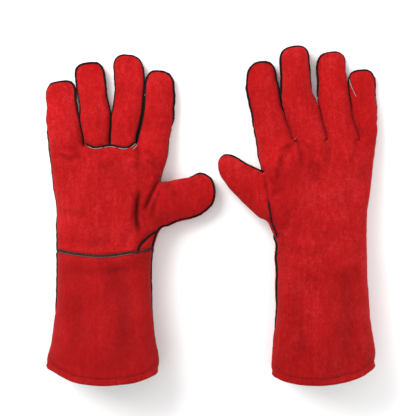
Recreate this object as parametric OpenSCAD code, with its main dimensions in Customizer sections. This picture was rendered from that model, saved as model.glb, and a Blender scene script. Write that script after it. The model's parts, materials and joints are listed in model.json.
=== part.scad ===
// A pair of long leather welding gloves, lying side by side with their thumbs inwards.
// One lies palm up and the other palm down. Each is a lined leather shell, sewn with a welt
// in every seam and open at the cuff.
//
// X runs across the pair, Y from the cuffs to the fingertips, and Z up from the table.
// The origin is on the table, in the middle of the pair.
//
// A glove is drawn in its own frame: u across it, positive towards its thumb, y forwards from
// the middle of its hand, and z up. A row is one section of a tube, [y, lowest u, highest u,
// thickness], resting on z = 0.

/* [Pair] */
// Distance from the middle of the pair to the middle of each glove
glove_offset = 116.5; // [114:0.5:140]

/* [Leather and lining] */
// Thickness of the split leather
leather_t = 1.4; // [1:0.1:1.6]
// Thickness of the cotton lining
lining_t = 2; // [1:0.1:2.2]
// Thickness of the welt strip in the seams
welt_t = 1.6; // [1:0.1:2]
// How far a welt stands out of its seam
welt_out = 1.2; // [0.6:0.1:1.3]

/* [Hand] */
// Width across the knuckles
knuckle_w = 128; // [126:1:132]
// Thickness at the knuckles
knuckle_t = 28; // [26:1:32]
// Distance from the middle of the hand to the knuckle hinges
knuckle_y = 86; // [84:1:88]
// Width at the wrist
wrist_w = 99; // [94:1:104]
// Thickness at the wrist
wrist_t = 58; // [50:1:62]
// Distance from the middle of the hand back to the wrist
wrist_y = 35; // [33:1:37]

/* [Cuff] */
// Width at the hem
hem_w = 117; // [106:1:120]
// Thickness at the hem
hem_t = 84; // [72:1:90]
// Distance from the middle of the hand back to the hem at its furthest
hem_y = 172; // [168:1:178]
// How far the hem's cut curves from its middle to its sides
hem_sag = 15; // [8:1:20]
// Width of the binding round the hem
binding_w = 6; // [4:0.5:8]

/* [Motion] */
// How far a finger bends towards the palm
finger_bend = 60; // [40:5:60]
// How far the thumb folds towards the palm
thumb_bend = 50; // [30:5:50]
// How far a finger or the thumb bends backwards
back_bend = 10; // [5:1:10]
// How far the cuff bends either way
wrist_bend = 25; // [15:1:25]

/* [Hidden] */
// Each finger is [name, root u, tip u, tip y, width at the root, width near the tip].
PALM_UP_FINGERS = [
    ["little", -41.6, -47.5, 148, 32, 28.5],
    ["ring", -7.8, -18.6, 168, 21.5, 31],
    ["middle", 18.4, 24.7, 176, 23.5, 30],
    ["index", 51, 58.8, 159, 30.5, 31.5],
];
PALM_DOWN_FINGERS = [
    ["little", -51.4, -47.2, 160, 18, 26],
    ["ring", -23.1, -12.5, 179, 28, 31],
    ["middle", 11.8, 27.6, 185, 31, 30],
    ["index", 50, 61.7, 169, 33.5, 33],
];

// A thumb is [angle from u, hinge u, hinge y, length past the hinge, width at the root, near the tip].
// A glove is [name, side of the pair that it lies on, palm up or not, fingers, thumb].
GLOVES = [
    ["palm_up", -1, true, PALM_UP_FINGERS, [21.7, 74.3, 14, 48, 42, 37]],
    ["palm_down", 1, false, PALM_DOWN_FINGERS, [39.8, 75, 32.2, 41, 37, 28]],
];
function name(glove) = glove[0];
function side(glove) = glove[1];
function palm_up(glove) = glove[2];
function fingers(glove) = glove[3];
function thumb(glove) = glove[4];

HAND_PARTS = ["palm", "hand_back", "hand_lining", "hand_welt"];
CUFF_PARTS = ["cuff_front", "cuff_back", "cuff_lining", "cuff_side_welt", "cuff_binding", "wrist_welt"];
DIGIT_PARTS = ["front", "back", "lining", "welt"];
DIGITS = ["thumb", "index", "middle", "ring", "little"];

LEATHER_RED = "firebrick";
WELT_BLACK = "#2b2425";
LINING_WHITE = "antiquewhite";

clearance = 0.1;            // between two layers that are sewn together
hinge_gap = 0.4;            // between two bodies, at a hinge's own line
slant_gap = 3;              // from a finger's hinge back to the hand, which leaves room for its slant
palm_share = 0.65;          // height of a finger's or thumb's hinge, from its back to its palm side
ring_points = 18;           // corners of a section
ring_power = 0.87;          // roundness of a section: 1 is an ellipse, and less is squarer
tip_power = 0.7;            // roundness of a fingertip
finger_t = [27, 21];        // thickness at the root and near the tip
thumb_t = [34, 24];
reach = 200;                // longer than any part, for cutting away one side of a plane
lining_in = leather_t + clearance;         // from the leather's outside to the lining's outside
inside = lining_in + lining_t;             // from the leather's outside to the hollow
hem_r = (pow(hem_w / 2, 2) + pow(hem_sag, 2)) / (2 * hem_sag);   // the arc that the hem is cut to
edge_back = 1;              // from the binding's edge back to the leather's
furthest = max([for (glove = GLOVES) for (finger = fingers(glove)) finger[3]]) + 2;

// ---------- sections and tubes ----------

function signed_power(value, power) = sign(value) * pow(abs(value), power);

// One section's corners. Its top and bottom are flat between the corners nearest to them.
function ring(row, inset) = [
    for (k = [0 : ring_points - 1])
        let (
            angle = 360 * k / ring_points,
            steepest = pow(cos(180 / ring_points), ring_power),
            half_w = (row[2] - row[1]) / 2 - inset,
            half_t = row[3] / 2 - inset
        )
        [
            (row[1] + row[2]) / 2 + half_w * signed_power(cos(angle), ring_power),
            row[0],
            row[3] / 2 + half_t * signed_power(sin(angle), ring_power) / steepest,
        ]
];

// The solid between a list of sections, drawn in by inset.
module tube(rows, inset = 0) {
    for (i = [0 : len(rows) - 2])
        hull() polyhedron(
            concat(ring(rows[i], inset), ring(rows[i + 1], inset)),
            [[for (k = [0 : 2 * ring_points - 1]) k]]
        );
}

// A prism across the glove, whose outline is given as [y, z] points.
module across(points) {
    rotate([90, 0, 90]) linear_extrude(2 * reach, center = true) polygon(points);
}

// Everything above or below a slanting line, given as two [y, z] points, moved off it by shift.
module beside(line, up, shift) {
    far = up ? reach : -reach;
    slope = (line[1][1] - line[0][1]) / (line[1][0] - line[0][0]);
    off = up ? shift : -shift;
    function on_line(y) = line[0][1] + slope * (y - line[0][0]) + off;
    across([[-reach, on_line(-reach)], [reach, on_line(reach)], [reach, far], [-reach, far]]);
}

// The sheet of a welt along such a line.
module seam_sheet(line) {
    intersection() {
        beside(line, true, -welt_t / 2);
        beside(line, false, -welt_t / 2);
    }
}

// Height of a finger's or thumb's hinge.
function hinge_z(glove, thickness) = thickness * (palm_up(glove) ? palm_share : 1 - palm_share);

module above_table() {
    translate([-reach, -reach, 0]) cube(2 * reach);
}

// What a hinge takes away: everything behind it, and a wedge on each side for its bend.
module behind_hinge(z, gap, up_bend, down_bend) {
    up = tan(up_bend / 2) * reach;
    down = tan(down_bend / 2) * reach;
    across([
        [gap, z], [gap + up, z + reach], [-reach, z + reach],
        [-reach, z - reach], [gap + down, z - reach],
    ]);
}

// The same, in front of a hinge.
module ahead_of_hinge(z, gap, up_bend, down_bend) {
    mirror([0, 1, 0]) behind_hinge(z, gap, up_bend, down_bend);
}

// ---------- one layer of a shell ----------

// Leather: children(0) outside, children(1) inside, one half above or below the seam line.
module leather_half(line, up) {
    color(LEATHER_RED) intersection() {
        difference() {
            children(0);
            children(1);
        }
        beside(line, up, welt_t / 2 + clearance / 2);
    }
}

// ---------- fingers and thumb ----------

// Rows of a digit along its own axis from its hinge, which is at y = 0, drawn in by inset.
function digit_rows(length, widths, thicknesses, inset) =
    let (tip_r = widths[1] / 2, straight = length - tip_r)
    concat(
        [[-4, -widths[0] / 2, widths[0] / 2, thicknesses[0]]],
        [
            for (share = [0.5, 1])
                let (w = widths[0] + share * (widths[1] - widths[0]))
                [
                    straight * share, -w / 2, w / 2,
                    thicknesses[0] + share * (thicknesses[1] - thicknesses[0]),
                ]
        ],
        [
            for (angle = [35, 58, 75])
                let (shrink = pow(cos(angle), tip_power), w = widths[1] * shrink)
                [
                    straight + (tip_r - inset) * sin(angle) / sin(75), -w / 2, w / 2,
                    thicknesses[1] * shrink,
                ]
        ]
    );

// A row's section rests on z = 0, and a tip's is raised to its finger's middle height.
module digit_tube(length, widths, thicknesses, inset) {
    rows = digit_rows(length, widths, thicknesses, inset);
    for (i = [0 : len(rows) - 2])
        hull() polyhedron(
            concat(tip_ring(rows[i], thicknesses, inset), tip_ring(rows[i + 1], thicknesses, inset)),
            [[for (k = [0 : 2 * ring_points - 1]) k]]
        );
}
function tip_ring(row, thicknesses, inset) = [
    for (p = ring(row, inset)) [p[0], p[1], p[2] + max(0, (thicknesses[1] - row[3]) / 2)]
];

function digit_seam(length, thicknesses) = [[0, thicknesses[0] / 2], [length, thicknesses[1] / 2]];

// One part of a digit, in the digit's own frame.
module digit_part(glove, part, length, widths, thicknesses, bend) {
    line = digit_seam(length, thicknesses);
    stops = bends(glove, bend);
    difference() {
        if (part == "front" || part == "back")
            leather_half(line, (part == "front") == palm_up(glove)) {
                digit_tube(length, widths, thicknesses, 0);
                digit_tube(length, widths, thicknesses, leather_t);
            }
        else if (part == "lining")
            color(LINING_WHITE) difference() {
                digit_tube(length, widths, thicknesses, lining_in);
                digit_tube(length, widths, thicknesses, inside);
            }
        else
            color(WELT_BLACK) intersection() {
                difference() {
                    digit_tube(length, widths, thicknesses, -welt_out);
                    digit_tube(length, widths, thicknesses, leather_t);
                }
                seam_sheet(line);
            }
        behind_hinge(hinge_z(glove, thicknesses[0]), hinge_gap, stops[0], stops[1]);
    }
}

// How far a finger or thumb bends, upwards and downwards.
function bends(glove, bend) = palm_up(glove) ? [bend, back_bend] : [back_bend, bend];

// A finger's slant from straight ahead, and its length from the hinge to the tip.
function slant(finger) = atan2(finger[1] - finger[2], finger[3] - knuckle_y);
function finger_length(finger) = norm([finger[1] - finger[2], finger[3] - knuckle_y]);

module finger_part(glove, finger, part) {
    translate([finger[1], knuckle_y, 0]) rotate([0, 0, slant(finger)])
        digit_part(glove, part, finger_length(finger), [finger[4], finger[5]], finger_t, finger_bend);
}

module at_thumb(glove) {
    t = thumb(glove);
    translate([t[1], t[2], 0]) rotate([0, 0, t[0] - 90]) children();
}

module thumb_part(glove, part) {
    t = thumb(glove);
    at_thumb(glove)
        digit_part(glove, part, t[3], [t[4], t[5]], thumb_t, thumb_bend);
}

// ---------- hand ----------

// The side towards the thumb swells from the wrist to the index finger, and the other less.
hand_rows = [
    [-wrist_y - 20, -wrist_w / 2, wrist_w / 2, wrist_t + 2],
    [-wrist_y, -wrist_w / 2, wrist_w / 2, wrist_t],
    [-18, -wrist_w / 2 - 0.5, wrist_w / 2 + 1.5, 50],
    [10, -wrist_w / 2 - 1.5, wrist_w / 2 + 5, 44],
    [40, -knuckle_w / 2 + 9, knuckle_w / 2 - 4.5, 39],
    [65, -knuckle_w / 2 + 6, knuckle_w / 2 + 2, 33],
    [knuckle_y + 6, -knuckle_w / 2 + 4, knuckle_w / 2 + 4, knuckle_t],
];
hand_seam = [[-wrist_y, wrist_t / 2], [knuckle_y, knuckle_t / 2]];

// The thumb's root, from inside the hand to its hinge, in the thumb's own frame.
module thumb_root(glove, inset) {
    w = thumb(glove)[4];
    at_thumb(glove)
        tube([[-62, -8, 8, 36], [-30, -w / 2 - 1, w / 2 + 1, 37], [4, -w / 2, w / 2, thumb_t[0]]], inset);
}

module hand_solid(glove, inset) {
    tube(hand_rows, inset);
    thumb_root(glove, inset);
}

// Room for the cuff, the fingers and the thumb to bend.
module hand_ends(glove) {
    finger_stops = bends(glove, finger_bend);
    thumb_stops = bends(glove, thumb_bend);
    half_w = thumb(glove)[4] / 2 + 2.5;
    translate([0, -wrist_y, 0]) behind_hinge(wrist_t / 2, hinge_gap, wrist_bend, wrist_bend);
    translate([0, knuckle_y, 0])
        ahead_of_hinge(hinge_z(glove, finger_t[0]), slant_gap, finger_stops[0], finger_stops[1]);
    at_thumb(glove) intersection() {
        ahead_of_hinge(hinge_z(glove, thumb_t[0]), hinge_gap, thumb_stops[0], thumb_stops[1]);
        translate([-half_w, -half_w, -reach / 2]) cube([2 * half_w, reach, reach]);
    }
}

// The seam across the palm at the roots of the two middle fingers, widened by gap on each side.
module root_seam(glove, gap) {
    roots = [for (finger = fingers(glove)) finger[1]];
    past_root = 13;
    palm_depth = finger_t[0] * (1 - palm_share);
    y = knuckle_y - slant_gap - tan(finger_bend / 2) * palm_depth - 2 * welt_t;
    intersection() {
        beside(hand_seam, palm_up(glove), welt_t);
        translate([roots[1] - past_root - gap, y - welt_t / 2 - gap, 0])
            cube([roots[2] - roots[1] + 2 * (past_root + gap), welt_t + 2 * gap, reach]);
    }
}

module hand_half(glove, front) {
    difference() {
        leather_half(hand_seam, front == palm_up(glove)) {
            hand_solid(glove, 0);
            hand_solid(glove, leather_t);
        }
        hand_ends(glove);
        if (front) root_seam(glove, clearance);
    }
}

module hand_lining(glove) {
    color(LINING_WHITE) difference() {
        hand_solid(glove, lining_in);
        hand_solid(glove, inside);
        hand_ends(glove);
    }
}

// The welts in the side seams, and the one across the roots of the two middle fingers.
module hand_welt(glove) {
    color(WELT_BLACK) intersection() {
        difference() {
            hand_solid(glove, -welt_out);
            hand_solid(glove, leather_t);
            hand_ends(glove);
        }
        union() {
            seam_sheet(hand_seam);
            root_seam(glove, 0);
        }
    }
}

// ---------- cuff ----------

cuff_rows = [
    [-wrist_y + 12, -wrist_w / 2, wrist_w / 2, wrist_t - 1],
    [-wrist_y, -wrist_w / 2, wrist_w / 2, wrist_t],
    [-74, -wrist_w / 2 - 0.5, wrist_w / 2 - 0.5, wrist_t + 5],
    [-113, -wrist_w / 2 - 3.5, wrist_w / 2 + 0.5, wrist_t + 13],
    [-140, -hem_w / 2 + 1, hem_w / 2 - 5, hem_t - 6],
    [-hem_y - 10, -hem_w / 2 - 3, hem_w / 2 - 1, hem_t],
];
cuff_seam = [[-hem_y, hem_t / 2], [-wrist_y, wrist_t / 2]];

// Everything on the wrist's side of the hem, whose cut is an arc, drawn back by back.
module within_hem(back) {
    translate([0, hem_r - hem_y, -reach / 2]) cylinder(r = hem_r - back, h = 2 * reach, $fn = 92);
}

// Everything ahead of the cuff's front end, moved back by back.
module ahead_of_cuff(back) {
    translate([0, -wrist_y - back, 0]) ahead_of_hinge(wrist_t / 2, hinge_gap, wrist_bend, wrist_bend);
}

module cuff_wall(outer, inner) {
    difference() {
        tube(cuff_rows, outer);
        tube(cuff_rows, inner);
        ahead_of_cuff(0);
    }
}

module cuff_half(glove, front) {
    color(LEATHER_RED) difference() {
        intersection() {
            cuff_wall(0, leather_t);
            beside(cuff_seam, front == palm_up(glove), welt_t / 2 + clearance / 2);
            within_hem(edge_back);
        }
        if (front) ahead_of_cuff(welt_t + clearance);
    }
}

module cuff_lining() {
    color(LINING_WHITE) intersection() {
        cuff_wall(lining_in, inside);
        within_hem(edge_back);
    }
}

module cuff_side_welt() {
    color(WELT_BLACK) intersection() {
        cuff_wall(-welt_out, leather_t);
        seam_sheet(cuff_seam);
        within_hem(binding_w + clearance);
    }
}

// The strip that wraps the leather's and the lining's edge.
module cuff_binding() {
    fold = 0.8;
    color(LEATHER_RED) difference() {
        intersection() {
            cuff_wall(-fold, inside + fold);
            within_hem(0);
            above_table();
        }
        within_hem(binding_w);
        intersection() {
            cuff_wall(-clearance, inside + clearance);
            within_hem(edge_back - clearance);
        }
    }
}

// The welt across the front at the wrist, along the cuff's front end.
module wrist_welt(glove) {
    color(WELT_BLACK) intersection() {
        cuff_wall(-welt_out, leather_t);
        beside(cuff_seam, palm_up(glove), welt_t);
        ahead_of_cuff(welt_t);
        above_table();
    }
}

// ---------- the pair ----------

// A glove's own frame, laid on its side of the pair with its thumb inwards.
module place(glove) {
    translate([side(glove) * glove_offset, (hem_y - furthest) / 2, 0]) mirror([side(glove) > 0 ? 1 : 0, 0, 0]) children();
}

module show(glove, part) {
    place(glove) children();
}

for (glove = GLOVES) {
    show(glove, "palm") hand_half(glove, true);
    show(glove, "hand_back") hand_half(glove, false);
    show(glove, "hand_lining") hand_lining(glove);
    show(glove, "hand_welt") hand_welt(glove);
    show(glove, "cuff_front") cuff_half(glove, true);
    show(glove, "cuff_back") cuff_half(glove, false);
    show(glove, "cuff_lining") cuff_lining();
    show(glove, "cuff_side_welt") cuff_side_welt();
    show(glove, "cuff_binding") cuff_binding();
    show(glove, "wrist_welt") wrist_welt(glove);
    for (part = DIGIT_PARTS) {
        show(glove, str("thumb_", part)) thumb_part(glove, part);
        for (finger = fingers(glove))
            show(glove, str(finger[0], "_", part)) finger_part(glove, finger, part);
    }
}
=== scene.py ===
import json
import math

import bpy
import numpy as np
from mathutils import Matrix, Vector, noise
from mathutils.geometry import delaunay_2d_cdt


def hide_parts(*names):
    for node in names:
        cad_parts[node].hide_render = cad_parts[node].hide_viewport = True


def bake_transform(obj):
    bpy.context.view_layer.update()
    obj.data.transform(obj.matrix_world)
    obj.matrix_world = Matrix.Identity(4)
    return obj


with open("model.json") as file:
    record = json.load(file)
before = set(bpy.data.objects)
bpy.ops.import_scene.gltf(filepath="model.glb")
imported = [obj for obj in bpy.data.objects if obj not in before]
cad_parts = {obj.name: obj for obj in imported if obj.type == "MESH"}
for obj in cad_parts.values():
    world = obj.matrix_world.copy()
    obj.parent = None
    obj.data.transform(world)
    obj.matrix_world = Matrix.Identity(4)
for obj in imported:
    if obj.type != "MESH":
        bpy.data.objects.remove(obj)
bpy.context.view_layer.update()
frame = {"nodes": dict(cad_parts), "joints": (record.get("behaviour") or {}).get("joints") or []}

# Lengths are in millimetres until a mesh is made. A glove is worked out in its own plan: u is
# positive towards its thumb, and y and z are the frame's own.

JOINTS = {j["name"]: j for j in frame["joints"]}
FINGERS = ("little", "ring", "middle", "index")
PARTS = ("hand", "cuff", "thumb", "index", "middle", "ring", "little")
HAND, CUFF = ("palm", "hand_back"), ("cuff_front", "cuff_back")
STEP = 1.9              # spacing of the leather's mesh
LEATHER = 1.4           # its thickness
LINING = 1.6
LINING_GAP = 0.3        # between leather and lining
SLIT = 0.8              # between two fingers that touch
PROUD = 0.3             # that the seam stands out of the CAD outline
CUFF_HEIGHTS = (-138, -120, -100, -80)      # where that outline is measured
HAND_HEIGHTS = (2, 22, 44, 60)
LAYERS = (0.7, 1.8)     # how far inside the seam the mesh's first rows lie
LATTICE_INSET = 2.9     # and its even lattice
THIN = 0.8              # half width of a welt that hardly stands out
TABLE = 0.05            # lowest height that anything reaches
DRAWN_KNUCKLES = 86     # height of the knuckles in the lists of lines drawn on a glove
ROLL_LIFT = 4.6         # how far a seam that rolls fully rises
ROLL_TUCK = 2.3         # how far it draws in
ROLL_BULGE = 2.7        # how far the sheet that wraps round it stands out
BEND_START = 0.6        # where a finger's bend starts, ahead of the cut at its root
BEND_END = 20
WELT_SHOWS = 0.35       # least half width of a welt that's made


def unit(v):
    return v / np.maximum(np.linalg.norm(v, axis=-1, keepdims=True), 1e-12)


def smooth(t, lo, hi):
    t = np.clip((t - lo) / (hi - lo), 0, 1)
    return t * t * (3 - 2 * t)


def bell(x, width):
    return np.exp(-(x / width) ** 2)


def cross2(a, b):
    return a[..., 0] * b[..., 1] - a[..., 1] * b[..., 0]


def lookup(x, table, column=1):
    table = np.array(table)
    return np.interp(x, table[:, 0], table[:, column])


def eased(values, times):
    """Evens out a run of values, but for its ends."""
    a = np.array(values, float)
    for _ in range(times):
        a[1:-1] = (a[:-2] + 2 * a[1:-1] + a[2:]) / 4
    return a


def wave(x, length, seed):
    """Smooth noise of about one unit along a line."""
    fine = noise.noise(Vector((x / length * 2.9, seed, 7.1)))
    return noise.noise(Vector((x / length, seed * 3.7, 1.3))) + 0.4 * fine


def grain(points, scale, seed):
    """Smooth noise of about one unit in the plan."""
    return np.array([noise.noise(Vector((x / scale + seed * 7.3, y / scale - seed * 3.1, seed * 1.7)))
                     for x, y in points])


def run_of(points):
    """How far along a line each of its points is."""
    return np.concatenate([[0], np.cumsum(np.linalg.norm(np.diff(points, axis=0), axis=1))])


def spline(points, step=1.0):
    """A Catmull-Rom curve through the points."""
    p = np.array(points, float)
    p = np.vstack([2 * p[0] - p[1], p, 2 * p[-1] - p[-2]])
    out = []
    for i in range(1, len(p) - 2):
        n = max(2, int(np.linalg.norm(p[i + 1] - p[i]) / step))
        t = np.linspace(0, 1, n, endpoint=False)[:, None]
        out.append(0.5 * (2 * p[i] + (p[i + 1] - p[i - 1]) * t
                          + (2 * p[i - 1] - 5 * p[i] + 4 * p[i + 1] - p[i + 2]) * t ** 2
                          + (3 * p[i] - p[i - 1] - 3 * p[i + 1] + p[i + 2]) * t ** 3))
    return np.vstack(out + [p[-2][None]])


def resample(points, step):
    p = np.array(points, float)
    d = run_of(p)
    t = np.linspace(0, d[-1], max(2, int(round(d[-1] / step)) + 1))
    return np.column_stack([np.interp(t, d, p[:, k]) for k in range(p.shape[1])])


def inside(points, poly):
    x, y = points[:, 0], points[:, 1]
    res = np.zeros(len(points), bool)
    for (xi, yi), (xj, yj) in zip(poly, np.roll(poly, 1, 0)):
        if yi != yj:
            res ^= ((yi > y) != (yj > y)) & (x < (xj - xi) * (y - yi) / (yj - yi) + xi)
    return res


def to_polyline(points, line):
    """Distance from each point to a polyline, and the nearest place on it as a fraction of its length."""
    best, where = np.full(len(points), 1e9), np.zeros(len(points))
    run = run_of(line)
    for i in range(len(line) - 1):
        d = line[i + 1] - line[i]
        t = np.clip(((points - line[i]) @ d) / max(d @ d, 1e-9), 0, 1)
        q = np.linalg.norm(points - line[i] - t[:, None] * d, axis=1)
        m = q < best
        best[m], where[m] = q[m], (run[i] + t[m] * (run[i + 1] - run[i])) / run[-1]
    return best, where


def nearest(points, targets):
    """For each point, the nearest target and how far it is."""
    which, far = [], []
    for i in range(0, len(points), 1500):
        q = ((points[i:i + 1500, None] - targets[None]) ** 2).sum(2)
        which.append(q.argmin(1))
        far.append(np.sqrt(q.min(1)))
    return np.concatenate(which), np.concatenate(far)


# ---------- each glove's own shape, as drawn ---------------

# Each finger's own bow in plan, towards the thumb, and how far its root swells to meet the next.
BOW = {
    "palm_up": {"little": -2.0, "ring": 0.0, "middle": 3.6, "index": 3.8},
    "palm_down": {"little": 1.8, "ring": 4.6, "middle": 4.4, "index": 5.0},
}
ROOT_SWELL = {"palm_up": 8.0, "palm_down": 6.0}
# By the gap from little finger to index: where neighbours part, ahead of the knuckle hinge, and how far
# up they still touch. Then the length over which the gap opens, and where the bend starts.
CROTCH = {"palm_up": (-9.5, -9.0, -6.5), "palm_down": (-2.0, -1.5, -1.5)}
TOUCH = {"palm_up": (20, 22, 58), "palm_down": (60, 30, 54)}
PARTING = {"palm_up": 9, "palm_down": 18}
CUT = {"palm_up": -5.0, "palm_down": 0.5}
# The thumb's outline past the crotch, along and across its own axis from its hinge.
THUMB = {
    "palm_up": [
        (-3, 27.6), (4, 25), (12, 23.5), (20, 21.7), (28, 21), (35, 21.2), (41, 19.6), (45, 16.3), (48, 12),
        (49.2, 7.8), (49.1, 3.5), (48.4, -1), (46.9, -5.6), (44.2, -10.6), (40, -15.4), (35, -18.5),
        (28, -21), (20, -22.6), (11, -21.8), (0, -20.2), (-12, -20.8), (-24, -22.4)],
    "palm_down": [
        (0.5, 21.2), (5, 21.3), (10, 20.2), (15, 19), (20, 17.5), (26, 16.6), (31, 16.1), (36, 14.8),
        (40.8, 12.7), (44.6, 9), (46.4, 4.4), (45.6, -0.8), (42.6, -4.8), (38.8, -8.6), (33, -11.9),
        (26, -13.9), (18, -15.5), (10, -16.6), (0, -17.6), (-12, -18.5), (-26, -19.4), (-40, -19.4)],
}
# Each fingertip's shift towards the thumb, extra width and roundness. Then how far its finger's waist
# draws in.
TIP = {
    "palm_up": {"little": (-0.3, 2.6, 0.66), "ring": (-0.4, 3.2, 0.64), "middle": (-0.8, 3.0, 0.74),
                "index": (0.2, 0.8, 0.76)},
    "palm_down": {"little": (3.0, 2.2, 0.66), "ring": (1.0, 1.8, 0.68), "middle": (2.2, 1.8, 0.70),
                  "index": (2.2, -1.8, 0.88)},
}
WAIST = {
    "palm_up": {"little": 0.6, "ring": 1.5, "middle": 1.5, "index": 0.7},
    "palm_down": {"little": 0.6, "ring": 0.9, "middle": 0.9, "index": 0.6},
}
# How far each side shifts towards the thumb, by height from the knuckles. Then how far the hem rises, by
# place across.
SIDE_SHIFT = {
    "palm_up": {
        "little": [(-246, 0), (-234, 0.6), (-220, 2.4), (-190, 1), (-150, -0.4), (-69, -0.4),
                   (-52, -0.6), (-30, -1), (-6, -1.6), (8, -3.2), (18, -3.2), (32, -2.2), (50, -1.6),
                   (62, 0)],
        "thumb": [(-246, 3), (-234, 4.6), (-220, 3.3), (-200, 2.6), (-155, 1.2), (-143, 1.6), (-130, 0),
                  (-117, -2), (-95, -2), (-80, 0), (-43, -2), (-35, -1), (-26, 0.6), (-15, 1.6), (0, 0.4),
                  (40, 0.8), (56, -0.5)],
    },
    "palm_down": {
        "little": [(-256, 6), (-246, 7), (-234, 4), (-220, 3.4), (-185, 3), (-117, 3.2), (-43, 2.6),
                   (-20, 1.4), (10, 0.8), (30, -0.2), (56, -1)],
        "thumb": [(-246, -0.4), (-208, 0.8), (-182, -0.4), (-150, 0.6), (-130, 0.6), (-117, -2.6),
                  (-104, -2.2), (-88, 0), (-70, 0.6), (-20, 2.4), (-9, 1.4), (17, 0.6), (34, 2), (55, 2),
                  (66, 1)],
    },
}
HEM_SHIFT = {
    "palm_up": [(-64, 4.5), (-52, 4.2), (-40, 2.4), (-28, 0.4), (0, -0.8), (20, -1), (35, -2.4), (50, -2.4),
                (60, -0.8)],
    "palm_down": [(-62, 9), (-56, 7.5), (-50, 4.2), (-40, 2.2), (-20, 1), (0, -0.4), (15, -1.4), (30, -3),
                  (45, -4.6), (56, -3.6), (64, -1)],
}
# Seams that run inside the outline.
SEAMS = {
    "palm_up": {
        "wrist": [(-51, -34.5), (-30, -38), (-8, -40), (10, -39.6), (27, -37.2), (37, -36.4), (46, -34.8),
                  (51.5, -31.8)],
        "patch": [(36.5, -36.4), (38.5, -30), (43, -24.5), (51, -17.5), (57.5, -14.5), (61.5, -13.4)],
        "root": [(-20.5, 80.0), (-17, 77.5), (-10.5, 75.0), (-2, 76.2), (6, 77.2), (14, 76), (22, 74.3),
                 (28, 76.5), (33.5, 81.5)],
    },
    "palm_down": {
        "wrist": [(-51, -38), (-30, -42), (0, -43.5), (30, -41), (51, -37)],
        "patch": [(57.5, 17.5), (56, 8), (53.5, -1.6), (50.5, -9.5), (48.2, -15.2), (47.6, -21.5)],
        "root": [(-26, 80), (-12, 77), (2, 77.5), (14, 80.5)],
    },
}
# Creases in the upper sheet: width, depth, and the line's points.
FOLDS = {
    "palm_up": [
        (2.8, 4.8, (38, 30), (35.6, 12), (35, 0), (38.5, -18)),
        (2.4, 4.4, (61, 46), (56, 37), (50, 23), (43, 7)),
        (3.4, 1.4, (60, 30), (54, 12), (50, -4)),
        (2.6, 1.5, (44, 62), (52, 56), (60, 46)),
        (2.8, 1.4, (40, 70), (50, 66), (60, 60)),
        (3.5, 1.6, (62, 38), (72, 30), (80, 20)),
        (4.0, 1.5, (50, 62), (57, 56), (63, 52)),
        (3.4, 2.0, (-50, 68), (-38, 62), (-26, 65)),
        (3.0, 1.3, (-46, 76), (-38, 72), (-29, 74)),
        (3.4, 1.6, (-30, 77), (-27, 66), (-18, 56)),
        (3.6, 2.2, (34, 80), (37, 66), (36, 50)),
        (2.6, 1.1, (-3, 118), (-5, 104), (-4, 90)),
        (2.4, 0.9, (-18, 112), (-16, 100), (-12, 88)),
        (6.0, 0.9, (-50, 10), (-30, 4), (-10, 6)),
        (5.0, 1.0, (-48, -22), (-20, -27), (12, -26)),
        (4.0, 1.2, (20, -30), (26, -20), (32, -6)),
        (5.0, 1.0, (-46, -52), (-20, -57), (20, -55), (44, -51)),
        (9.0, 1.1, (-30, -75), (-26, -110), (-30, -145)),
        (9.0, 1.2, (22, -70), (26, -105), (20, -140)),
    ],
    "palm_down": [
        (3.0, 2.4, (48, 34), (45.5, 54), (40, 67), (31, 78)),
        (2.6, 1.6, (62, 45), (54, 40), (46, 30)),
        (1.8, 2.4, (62, 45), (60, 35), (58.4, 26), (57.5, 16)),
        (3.4, 1.9, (56, 18), (50, 26), (40, 30)),
        (3.0, 2.4, (28, 82), (23, 70), (22, 52)),
        (2.6, 1.9, (28, 82), (36, 76), (47, 70)),
        (2.8, 1.7, (28, 82), (17, 77), (8, 70)),
        (3.6, 1.2, (20, 66), (10, 56), (-2, 50)),
        (4.0, 1.0, (14, 54), (6, 42), (-6, 34)),
        (3.2, 1.9, (-5, 86), (-7, 72), (-3, 54)),
        (3.2, 1.8, (-37, 86), (-36, 72), (-30, 56)),
        (5.0, 0.9, (-54, 60), (-44, 50), (-38, 36)),
        (4.0, 1.3, (44, -14), (38, -6), (36, 10)),
        (6.0, 1.2, (44, -30), (22, -36), (-6, -36)),
        (6.0, 1.0, (-48, -30), (-26, -38), (-8, -44)),
        (8.0, 1.2, (28, -64), (30, -100), (24, -140)),
        (8.0, 1.0, (-22, -60), (-26, -100), (-22, -140)),
        (7.0, 0.8, (6, 30), (10, 8), (8, -16)),
    ],
}
# Wide, shallow hollows in it, given in the same way.
HOLLOWS = {
    "palm_up": [
        (15.0, 5.0, (16, -46), (22, -80), (26, -120), (22, -150)),
        (20.0, 2.5, (2, 60), (6, 30), (4, 0)),
        (9.0, 3.0, (36, 60), (42, 30), (38, 0)),
    ],
    "palm_down": [
        (16.0, 5.0, (-14, -50), (-22, -80), (-26, -120), (-20, -160)),
        (12.0, 2.0, (24, -60), (24, -100), (20, -140)),
        (12.0, 2.6, (10, 60), (16, 30), (20, -10)),
        (10.0, 2.0, (-24, 70), (-28, 40), (-26, 10)),
    ],
}
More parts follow.
